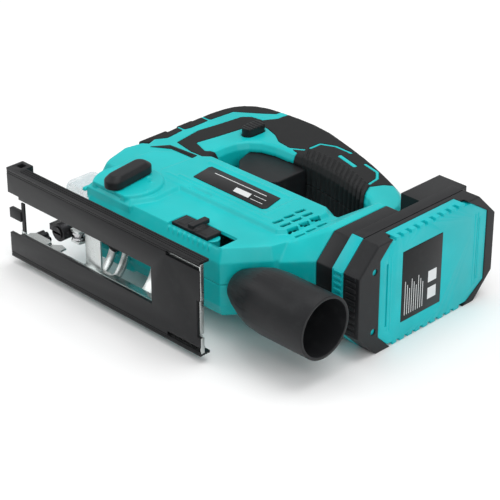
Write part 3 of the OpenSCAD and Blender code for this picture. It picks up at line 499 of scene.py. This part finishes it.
# %% Finishes of the CAD parts
finishes = {
    teal_plastic: ["left_housing", "right_housing"],
    soft_rubber: ["left_grip_cover", "right_grip_cover"],
    smooth_black: ["left_name_plate", "right_name_plate", "shoe_cover", "pack_label"],
    black_plastic: ["foot_frame", "selector_lever", "trigger", "lock_off_button", "blower_slider",
                    "dust_tube", "terminal_block", "trigger_switch", "cut_line_pointer",
                    "left_fence_knob", "right_fence_knob",
                    "pack_top_case", "pack_bumper", "pack_latch_button"],
    pack_teal: ["pack_front_case", "pack_rear_case"],
    zinc_steel: ["shoe_plate", "bevel_saddle", "roller_fork", "motor_can"],
    ground_steel: ["motor_shaft", "gear_shaft", "plunger", "crank_pin", "fork_pin", "roller_pin",
                   "selector_shaft",
                   "front_motor_bearing", "rear_motor_bearing", "guide_roller"],
    gear_steel: ["pinion", "drive_gear", "counterweight", "scotch_yoke"],
    spring_steel: ["clamp_spring", "pack_latch_spring"],
    bronze: ["plunger_bushes"],
    copper: ["armature", "commutator"],
    cast_alloy: ["gear_frame"],
    black_steel: ["housing_screws", "bevel_bolt", "blade_clamp_body", "blade_clamp_collar"],
    ferrite: ["motor_magnets"],
    phenolic: ["brush_plate"],
    carbon: ["carbon_brushes"],
    magnet_grey: ["cooling_fan"],
    guard_clear: ["blade_guard"],
    lens_clear: ["work_light"],
    board_green: ["pack_board"],
    cell_wrap: ["pack_cells"],
}
for material, nodes in finishes.items():
    for node in nodes:
        frame["nodes"][node].data.materials.clear()
        frame["nodes"][node].data.materials.append(material)
finish_of = {node: material for material, nodes in finishes.items() for node in nodes}
body_of = {node: body for body, nodes in frame["record"]["behaviour"]["bodies"].items() for node in nodes}
print("parts with a finish:", len(finish_of))


def stands_for(piece, node, material=None):
    """Hangs a finished piece on the part's body, in the part's place and finish."""
    piece.data.materials.clear()
    piece.data.materials.append(material or finish_of[node])
    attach(piece, body_of[node])
    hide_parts(node)
    print(piece.name, "has", len(piece.data.polygons), "faces")
    return piece


def goes_with(piece, node, material=None):
    """Hangs an extra piece on the part's body, in the part's finish."""
    piece.data.materials.clear()
    piece.data.materials.append(material or finish_of[node])
    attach(piece, body_of[node])
    return piece

# %% [markdown]
# The outer shells
#
# A moulded shell has no sharp edge: where two forms meet the mould has a small radius. The CAD shell
# could be beveled edge by edge, but its long thin faces would tear. Instead it is rebuilt as a fine
# even net, relaxed so that every edge rolls over, and thinned again where it is flat. Whatever is
# laid on the shell first, such as the ridges by the motor, melts into it in the same step.

# %% Soften a shell
def soften(piece, grain_mm=0.8, rounds=6, keep=0.35):
    """Rebuilds a piece as a fine net, relaxes it and keeps this share of its faces."""
    modify(piece, "REMESH", mode="VOXEL", voxel_size=grain_mm * MM, adaptivity=0.0)
    modify(piece, "SMOOTH", factor=0.5, iterations=rounds)
    if keep < 1:
        modify(piece, "DECIMATE", decimate_type="COLLAPSE", ratio=keep)
    return smooth(piece, 60)

# %% Ridges, dots and ticks on the housing
relief_low, rim_high, step_high = 26.2, 27.7, 27.5
vent_x, vent_y, vent_width, vent_height = 170, 77, 2.6, 8
vent_columns, vent_rows, vent_step_x, vent_step_y, vent_lean = 4, 3, 6.5, 10, -8


def housing_marks(side):
    """Raised details of one half: side is 1 on the left and -1 on the right."""
    def lifted(name, low, high, z_low, z_high, round_by):
        return block(name, (*low, side * z_low), (*high, side * z_high), round_by)

    # a raised rim round the name plate
    marks = [lifted("rim", (79, 80.6), (158, 82.8), relief_low, rim_high, 0.5),
             lifted("rim", (79, 108.2), (156, 110.6), relief_low, rim_high, 0.5),
             lifted("rim", (158.5, 80.6), (161, 110.6), relief_low, rim_high, 0.5)]
    # the step that runs beside it down to the vents
    step = [(70, 77.8), (163, 75.9), (168, 77.6), (168, 79.5), (72, 79.5)]
    marks.append(outline_block("step", step, side * relief_low, side * step_high, round_by=0.4))
    if side > 0:
        # three low dots beside the lever, and ticks under the slider
        for x, y in ((70.6, 61.9), (77.7, 58.5), (85.0, 48.0)):
            marks.append(rod("dot", (x, y, 28), (x, y, 29.7), 1.2, 24, 0.4))
        for k in range(9):
            marks.append(lifted("tick", (122 + k * 4.6, 31.6), (123 + k * 4.6, 34.2), 18, 22.4, 0))
    return marks


for side, node in ((1, "left"), (-1, "right")):
    shell = copy_of(f"{node}_housing", f"{node}_housing_shell")
    shell = joined(f"{node}_housing_shell", shell, *housing_marks(side))
    shell = soften(shell, 0.62, 4, 0.3)
    # the vents are narrow, so they are opened again after the shell is relaxed
    vents = []
    corner = at(vent_x, vent_y, 0)
    for column in range(vent_columns):
        for row in range(vent_rows):
            vent = block("vent", (vent_x, vent_y, side * 15),
                         (vent_x + vent_width, vent_y + vent_height, side * 40))
            turned(vent, vent_lean, corner)
            vent.location = at(vent_x + column * vent_step_x, vent_y + row * vent_step_y, 0) - corner
            vents.append(settle(vent))
    stands_for(cut(shell, *vents, solver="MANIFOLD"), f"{node}_housing")

# %% [markdown]
# The soft grip
#
# The grip is moulded over the handle. Round its rear runs a row of ribs that stop the hand from
# sliding. Each rib is a band bent over the handle's lower edge: its outline is drawn once, across the
# handle, pulled out to the rib's width, leant over and set in its place along the edge.

# %% Ribs of the grip
rib_count = 14


def rib(side, x, y, lean, length):
    """Half of one rib. It starts on the handle's underside at x, y and climbs the side face."""
    profile = [(-0.7, 0.1), (-0.7, 12.9), (2.1, 17.4), (4.6, 18.7), (length, 18.7), (length + 1.5, 17.2),
               (length + 1.5, 16.4), (5, 16.4), (3, 15.6), (1, 12.0), (1, 0.1)]
    band = outline_block("rib", [(a, side * b) for a, b in profile], -1.15, 1.15, axis="x", round_by=0.35)
    turned(band, lean, at(0, 0, 0))
    band.location = at(x, y, 0) - at(0, 0, 0)
    return settle(band)


def grip_ribs(side):
    """The row of ribs on one side, leaning less and growing longer towards the middle of the grip."""
    ribs = []
    for k in range(rib_count):
        share = k / (rib_count - 1)
        x = 107 + share * 66
        y = 171.8 - 2.4 * share - 11.5 * share ** 2
        ribs.append(rib(side, x, y, 34 - 6 * share, 16.5 + 2.5 * math.sin(share * 3.1)))
    return ribs


pad_low, pad_high = 9, 14.3
pad_outlines = [[(1, 115), (6.5, 118), (10.5, 131), (9.5, 141), (1, 141)],
                [(1, 151), (9.5, 151), (10.5, 154), (10.2, 166), (1, 166)],
                [(2, 175.5), (10.2, 175.5), (11.5, 190), (16, 199), (8, 199)]]
for side, node in ((1, "left"), (-1, "right")):
    cover = copy_of(f"{node}_grip_cover", f"{node}_grip_skin")
    # pads on the spine: a raised field inside each outer pad
    pads = [outline_block("pad", outline, side * pad_low, side * pad_high, round_by=0.8)
            for outline in pad_outlines]
    cover = joined(f"{node}_grip_skin", cover, *grip_ribs(side), *pads)
    stands_for(soften(cover, 0.5, 3, 0.35), f"{node}_grip_cover")
    # a black inlay on the shoulder between the head and the handle
    inlay = outline_block("shoulder_inlay", [(29, 101), (37, 112.6), (62, 114.4), (62.5, 109.4), (42, 109)],
                          side * 23.2, side * 24.5, round_by=0.35)
    field = outline_block("field", [(39, 110.3), (42, 112.0), (59, 113.0), (59.3, 110.8)],
                          side * 24.0, side * 24.9, round_by=0.25)
    goes_with(smooth(joined(f"{node}_shoulder_inlay", inlay, field)), f"{node}_grip_cover")

# %% [markdown]
# Name plates
#
# The plates are printed film in a shallow seat. They carry no words: a blank pale badge and thin
# lines stand where a maker would print.

# %% Name plates
pale_print = moulded("pale_print", rgb(214, 217, 218), 0.35, grain_mm=0.6, depth_mm=0.003)


def slanted(name, x, y, length, height, z_low, z_high, lean=2.0, round_by=0.0):
    """A flat bar with leaning ends."""
    corners = [(x, y), (x + length, y), (x + length - lean, y + height), (x - lean, y + height)]
    return outline_block(name, corners, z_low, z_high, round_by=round_by)


for side, node in ((1, "left"), (-1, "right")):
    stands_for(crisp(f"{node}_name_plate", f"{node}_plate", 0.25), f"{node}_name_plate")
    face = 27.29 * side
    prints = [slanted("badge", 122, 89.5, 14, 5.5, face, face + 0.06 * side),
              slanted("line", 138, 89.5, 11, 0.5, face, face + 0.06 * side, 0.3),
              slanted("line", 136.4, 94.5, 11, 0.5, face, face + 0.06 * side, 0.3),
              slanted("line", 95, 99.3, 48, 0.7, face, face + 0.06 * side, 0.3)]
    prints = joined(f"{node}_plate_print", *prints)
    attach(prints, "tool")
    prints.data.materials.clear()
    prints.data.materials.append(pale_print)

# %% [markdown]
# Levers, buttons and the trigger
#
# These are the parts a finger meets, so they are the roundest. The pendulum lever is a long capsule
# with a soft top; the trigger has a hollowed front.

# %% Parts a finger meets
stands_for(soften(copy_of("selector_lever", "pendulum_lever"), 0.5, 10, 0.5), "selector_lever")
stands_for(soften(copy_of("trigger", "trigger_key"), 0.6, 12, 0.5), "trigger")

button = copy_of("lock_off_button", "lock_off_key")
grooves = []
for z_low, z_high in ((22.4, 25), (-18.3, -20)):
    for k in range(6):
        grooves.append(block("groove", (40, 170.5 + k * 3, z_low), (64, 171.5 + k * 3, z_high)))
stands_for(soften(cut(button, *grooves), 0.35, 3, 0.5), "lock_off_button")

slider = copy_of("blower_slider", "blower_key")
slider = joined("blower_key", slider, rod("hump", (138, 42, 22.6), (138, 42, 25.9), 5.2, 40, 1.0),
                block("field", (124.5, 37.6, 24.0), (131.5, 46.4, 25.2), 0.4),
                block("field", (144.5, 37.6, 24.0), (151.5, 46.4, 25.2), 0.4))
stands_for(soften(slider, 0.4, 4, 0.5), "blower_slider")

# %% [markdown]
# The shoe
#
# The shoe is a black cover clipped on a pressed steel plate. Its sides are ribbed along their length
# and every outer edge is rounded, so that it glides. The grooves are cut as thin bars, then the
# whole cover is beveled at once.

# %% Cover of the shoe
cover = copy_of("shoe_cover", "sole")
bars = []
for side in (1, -1):
    for y in (2.1, 4.0, 5.9):
        bars.append(block("groove", (12, y, side * 32.55), (190, y + 0.6, side * 34)))
    for z in (30.6, 29.2):
        bars.append(block("groove", (-1, -1, side * z), (190, 0.35, side * (z + 0.5))))
cover = cut(cover, *bars)
bpy.ops.object.mode_set(mode="EDIT")
bpy.ops.mesh.select_all(action="SELECT")
bpy.ops.mesh.dissolve_limited(angle_limit=math.radians(0.5))
bpy.ops.object.mode_set(mode="OBJECT")
modify(cover, "BEVEL", width=0.22 * MM, segments=2, limit_method="ANGLE", angle_limit=math.radians(30))
stands_for(smooth(cover, 40), "shoe_cover")

# %% Steel of the shoe
stands_for(crisp("shoe_plate", "sole_plate", 0.35), "shoe_plate")
stands_for(crisp("bevel_saddle", "saddle", 0.4), "bevel_saddle")
edge = [block("edge", (184.3, 0.5, 6.3), (185.2, 3.4, 31.2), 0.2),
        block("edge", (184.3, 0.5, -31.2), (185.2, 3.4, -20.3), 0.2),
        block("edge", (181.4, 2.6, -19.6), (182.2, 6.0, 5.6), 0.2)]
# lips folded up at the front of the window
for side in (1, -1):
    lip = [(13.5, 2.6), (30, 2.6), (33, 5), (33, 8.4), (29, 10), (16, 10), (12.6, 7)]
    edge.append(outline_block("lip", lip,
                              side * 13.6, side * 15.0, round_by=0.3))
    edge.append(outline_block("ear", [(33, 4.2), (41, 4.2), (44, 7), (44, 12), (38, 13.4), (33, 9)],
                              side * 15.6, side * 16.8, round_by=0.3))
goes_with(smooth(joined("sole_lips", *edge)), "shoe_plate")

# %% [markdown]
# The clear guard
#
# The guard is a thin clear cap. It is made as a rounded solid with a smaller rounded solid cut out of
# it, so that its wall is even and its corners catch the light.

# %% Guard
guard = block("clear_guard", (19.6, 31.1, -19.9), (42.4, 57.9, 19.9), 5.5, 6)
hollow = block("hollow", (21.2, 20, -18.3), (60, 56.3, 18.3), 4.3, 6)
stands_for(smooth(cut(guard, hollow), 30), "blade_guard")
arch = block("guard_arch", (40.4, 30.2, -22.4), (43.8, 60.4, 22.4), 1.3)
arch = cut(arch, block("gate", (30, 20, -20.3), (50, 58.4, 20.3), 1.0))
goes_with(smooth(arch), "left_housing")

# %% [markdown]
# The battery
#
# The battery is a teal box between two black shells. Its rear edge is bumpered, with a ribbed field at
# the end that would hit the floor first. All its parts are flat-sided, so they are beveled.

# %% Battery shells
stands_for(crisp("foot_frame", "foot_band", 0.9, 3), "foot_frame")
stands_for(crisp("pack_front_case", "pack_front", 0.5), "pack_front_case")
stands_for(crisp("pack_top_case", "pack_top", 0.7, 3), "pack_top_case")
stands_for(crisp("pack_rear_case", "pack_panel", 0.3), "pack_rear_case")
stands_for(soften(copy_of("pack_bumper", "bumper"), 0.45, 6, 0.4), "pack_bumper")
stands_for(crisp("pack_label", "pack_sticker", 0.2), "pack_label")
stands_for(crisp("pack_latch_button", "latch_key", 0.8, 3), "pack_latch_button")

# a ribbed field on the battery's lower end, in the bumper and in the teal front
ribs = [block("rib", (242, 67.45, -19 + k * 4.2), (250, 69, -16.4 + k * 4.2), 0.3) for k in range(10)]
goes_with(smooth(joined("bumper_ribs", *ribs)), "pack_bumper")
ribs = [block("rib", (232, 67.5, -19 + k * 4.2), (238.4, 69, -17 + k * 4.2), 0.3) for k in range(10)]
goes_with(smooth(joined("front_ribs", *ribs)), "pack_front_case")

# long ribs across the rear panel, and the print on the label
ribs = [block("rib", (251.9, y, -26), (252.75, y + 1.3, 26), 0.3) for y in (94.5, 97.2, 177.5, 180.2)]
goes_with(smooth(joined("panel_ribs", *ribs)), "pack_rear_case")


def panel_bar(y, z, height, width):
    """A printed bar on the rear label."""
    return block("print", (252.6, y, z), (252.78, y + height, z + width))


prints = [panel_bar(111 + k * 2.1, -21, 0.5, 24 - 3 * (k % 3)) for k in range(9)]
prints += [panel_bar(133, -18, 8, 8), panel_bar(133, -6, 8, 8)]
prints = joined("label_print", *prints)
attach(prints, "battery")
prints.data.materials.append(pale_print)

# %% [markdown]
# The dust tube and the small pieces
#
# The tube keeps its true shape and gets a rounded rim. The screws, pins and gears inside are already
# what they should be, so they keep their CAD shape and take only a finish.

# %% Tube and knobs
stands_for(crisp("dust_tube", "tube", 0.4, 3, 50), "dust_tube")
stands_for(crisp("left_fence_knob", "left_knob_head", 0.4), "left_fence_knob")
stands_for(crisp("right_fence_knob", "right_knob_head", 0.4), "right_fence_knob")
stands_for(crisp("cut_line_pointer", "pointer", 0.3), "cut_line_pointer")
stands_for(crisp("blade_clamp_collar", "clamp_ring_body", 0.5), "blade_clamp_collar")
